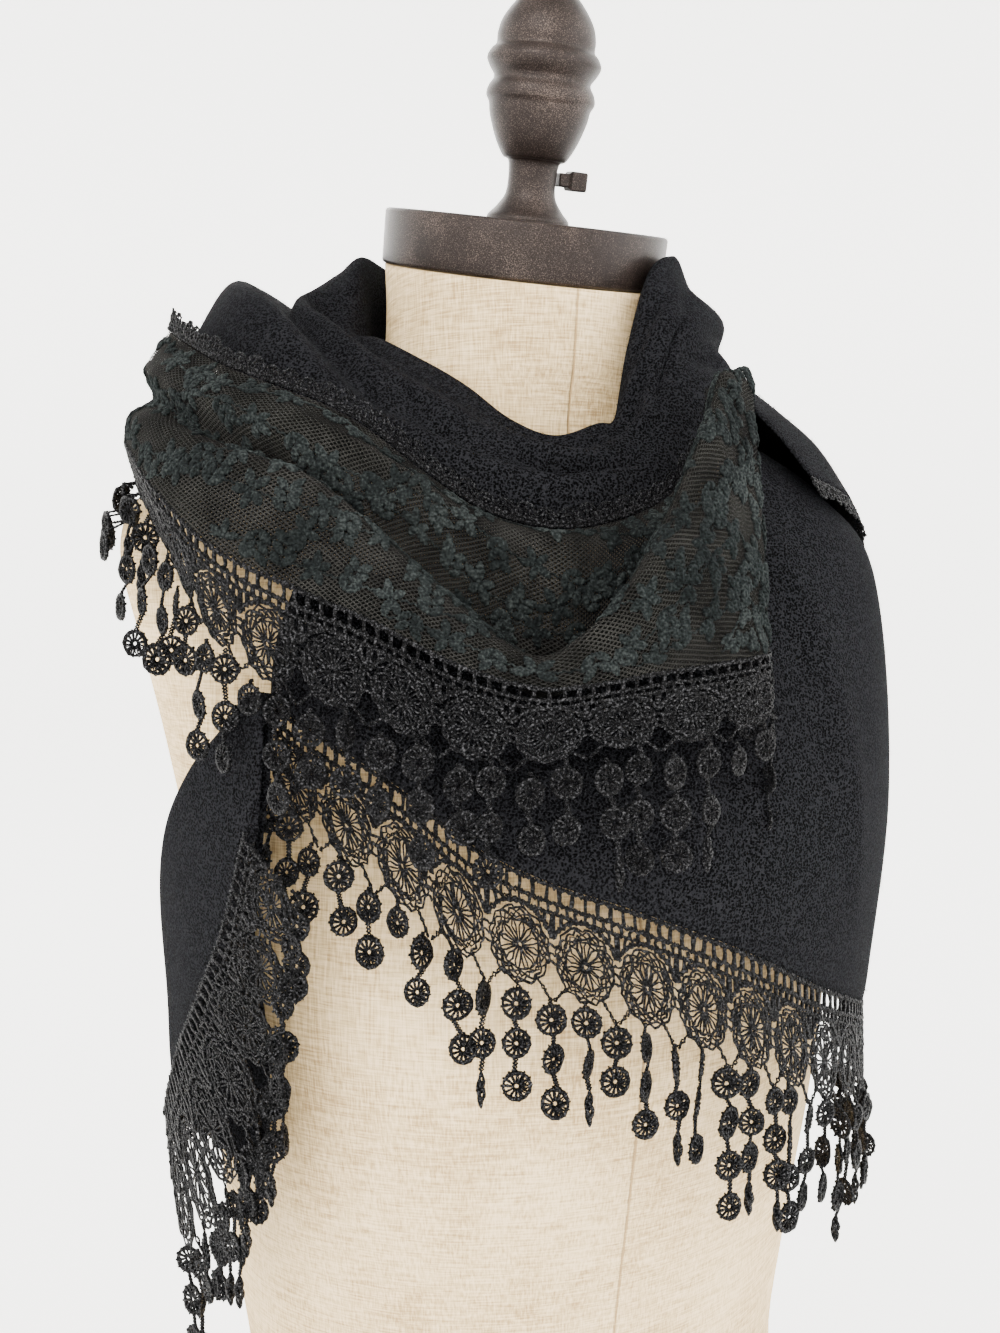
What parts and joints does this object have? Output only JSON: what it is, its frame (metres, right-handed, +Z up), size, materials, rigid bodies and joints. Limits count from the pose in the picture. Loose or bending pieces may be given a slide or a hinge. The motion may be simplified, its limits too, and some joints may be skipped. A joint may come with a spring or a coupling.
{
  "type": "lace shawl on dress form",
  "caption": "Black lace shawl wound round a limbless linen dress form: boucle knit neck roll, embroidered tulle cowl, crochet bands and chained disc fringe.",
  "frame": {"origin": "on the flat base of the form, under its neck axis", "axes": "+Z up along the form, the chest faces -Y, +X is towards the form's left-hand side"},
  "size_m": [0.3755, 0.2865, 0.81],
  "materials": {
    "linen": "plain weave linen cover, matte",
    "bronze": "dark speckled bronze, satin",
    "knit": "near-black boucle knit, matte and fuzzy",
    "tulle": "black net with dark chenille embroidery, matte",
    "crochet": "black mercerised yarn, slight sheen"
  },
  "bodies": {
    "root": {"form_torso": "linen", "form_neck_cap": "bronze", "form_finial": "bronze", "form_set_screw": "bronze", "knit_neck_wrap": "knit", "picot_trim_cowl": "crochet", "tulle_cowl": "tulle", "lace_band_cowl": "crochet", "fringe_cowl": "crochet", "knit_front_panel": "knit", "lace_band_front": "crochet", "fringe_front": "crochet", "knit_right_shoulder": "knit", "picot_trim_shoulder": "crochet", "knit_back": "knit", "lace_band_back": "crochet", "fringe_back": "crochet", "knit_left_tail": "knit", "lace_band_left_tail": "crochet", "fringe_left_tail": "crochet"}
  },
  "joints": []
}
